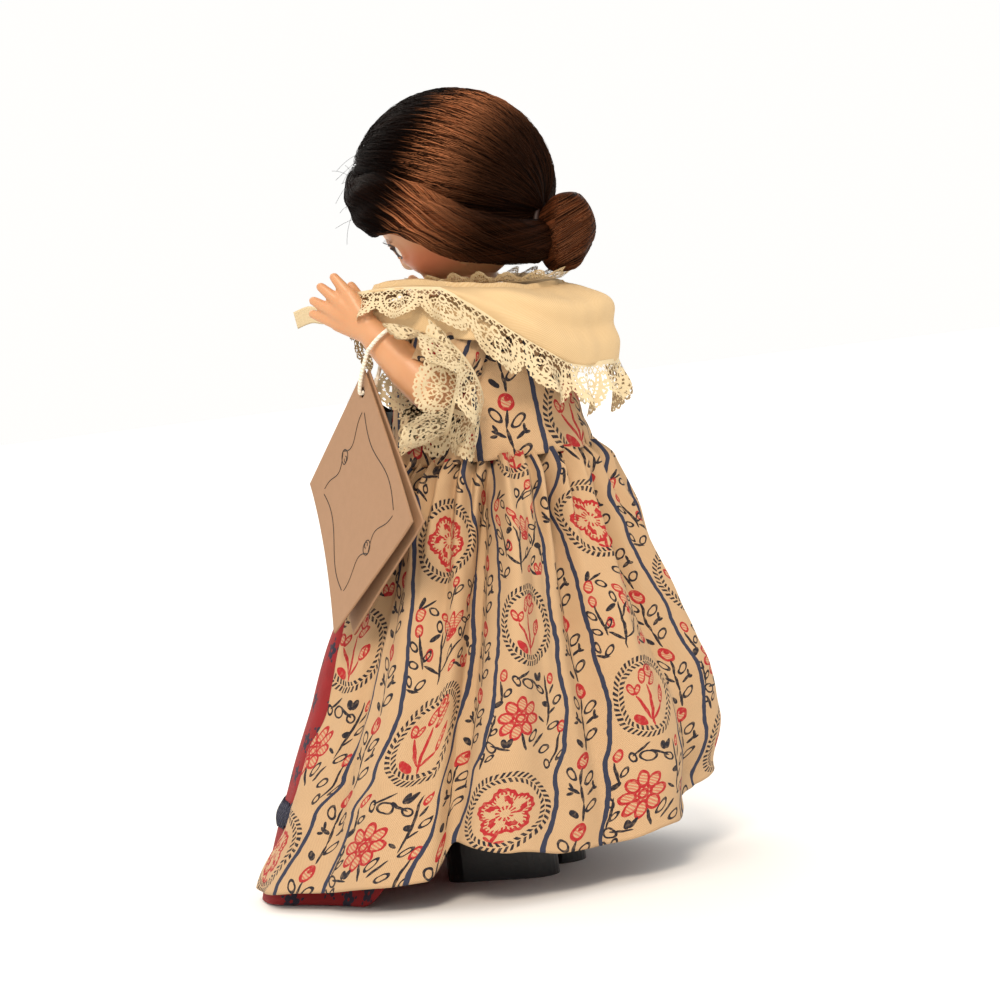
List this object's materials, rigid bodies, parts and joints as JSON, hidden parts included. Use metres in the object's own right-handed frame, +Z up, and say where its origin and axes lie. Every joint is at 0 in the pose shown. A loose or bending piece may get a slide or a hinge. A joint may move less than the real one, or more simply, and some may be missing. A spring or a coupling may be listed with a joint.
{
  "type": "costume doll",
  "caption": "Standing strung doll in a colonial dress with turning head, sleep eyes, swinging arms and legs, lace-edged fichu, open printed overskirt and a folded wrist tag.",
  "frame": {"origin": "on the floor under the middle of the skirt", "axes": "+Z up, the doll faces -Y, its left arm is at +X; the body axis stands 9 mm behind the origin because the skirt reaches further in front"},
  "size_m": [0.1152, 0.1182, 0.2001],
  "materials": {
    "hard_plastic": "satin",
    "metal": "satin",
    "elastic": "matte",
    "printed_cotton": "cream cotton printed in navy and red",
    "red_cotton": "red cotton with small navy flowers",
    "braid": "navy braid",
    "white_cotton": "matte",
    "fichu_twill": "cream twill",
    "lace": "cotton lace",
    "black_satin": "satin",
    "hair": "glossy synthetic hair",
    "shoe_vinyl": "gloss",
    "card": "matte",
    "string": "matte"
  },
  "bodies": {
    "torso": {"torso_front": "hard_plastic", "torso_back": "hard_plastic", "neck_elastic": "elastic", "arm_elastic": "elastic", "hip_elastic": "elastic", "pantaloon_seat": "white_cotton", "bodice": "printed_cotton", "back_placket": "printed_cotton", "back_snaps": "metal", "petticoat": "red_cotton", "petticoat_braid": "braid", "overskirt": "printed_cotton", "bodice_bow": "black_satin", "fichu": "fichu_twill", "fichu_lace": "lace", "fichu_end": "lace", "neck_lace": "lace"},
    "head": {"neck_hook": "metal", "face_shell": "hard_plastic", "skull_shell": "hard_plastic", "eye_bracket": "hard_plastic", "hair_crown": "hair", "hair_roll_left": "hair", "hair_roll_right": "hair", "hair_bun": "hair", "bun_tie": "elastic"},
    "eyes": {"eye_left": "hard_plastic", "eye_right": "hard_plastic", "eye_bar": "metal", "eye_weight": "metal"},
    "arm_l": {"arm_left": "hard_plastic", "arm_hook_left": "metal", "sleeve_left": "printed_cotton", "sleeve_lace_left": "lace"},
    "arm_r": {"arm_right": "hard_plastic", "arm_hook_right": "metal", "sleeve_right": "printed_cotton", "sleeve_lace_right": "lace"},
    "leg_l": {"leg_left": "hard_plastic", "leg_hook_left": "metal", "pantaloon_left": "white_cotton", "stocking_left": "white_cotton", "shoe_left": "shoe_vinyl", "sole_left": "shoe_vinyl", "strap_left": "shoe_vinyl"},
    "leg_r": {"leg_right": "hard_plastic", "leg_hook_right": "metal", "pantaloon_right": "white_cotton", "stocking_right": "white_cotton", "shoe_right": "shoe_vinyl", "sole_right": "shoe_vinyl", "strap_right": "shoe_vinyl"},
    "tag": {"tag_back": "card", "tag_string": "string"},
    "tag_cover": {"tag_front": "card"}
  },
  "joints": [
    {"name": "head_turn", "type": "hinge", "parent": "torso", "child": "head", "pos_m": [0, 0.00905, 0.15], "axis": [0, 0, 1], "range_deg": [-45, 45]},
    {"name": "eye_rock", "type": "hinge", "parent": "head", "child": "eyes", "pos_m": [0, -0.00317, 0.16075], "axis": [1, 0, 0], "range_deg": [0, 45]},
    {"name": "shoulder_left", "type": "hinge", "parent": "torso", "child": "arm_l", "pos_m": [0.0185, 0.01205, 0.138], "axis": [1, 0, 0], "range_deg": [-12, 3]},
    {"name": "shoulder_right", "type": "hinge", "parent": "torso", "child": "arm_r", "pos_m": [-0.0185, 0.01205, 0.138], "axis": [1, 0, 0], "range_deg": [-12, 50]},
    {"name": "hip_left", "type": "hinge", "parent": "torso", "child": "leg_l", "pos_m": [0.0096, 0.00905, 0.088], "axis": [1, 0, 0], "range_deg": [-20, 20]},
    {"name": "hip_right", "type": "hinge", "parent": "torso", "child": "leg_r", "pos_m": [-0.0096, 0.00905, 0.088], "axis": [1, 0, 0], "range_deg": [-20, 20]},
    {"name": "tag_swing", "type": "hinge", "parent": "arm_l", "child": "tag", "pos_m": [0.0295, -0.00445, 0.138], "axis": [-0.0272, -0.6792, 0.7335], "range_deg": [0, 25]},
    {"name": "tag_open", "type": "hinge", "parent": "tag", "child": "tag_cover", "pos_m": [0.03156, -0.0081, 0.1313], "axis": [-0.4185, -0.6289, -0.6552], "range_deg": [0, 100], "deforming": ["tag_string"]}
  ]
}
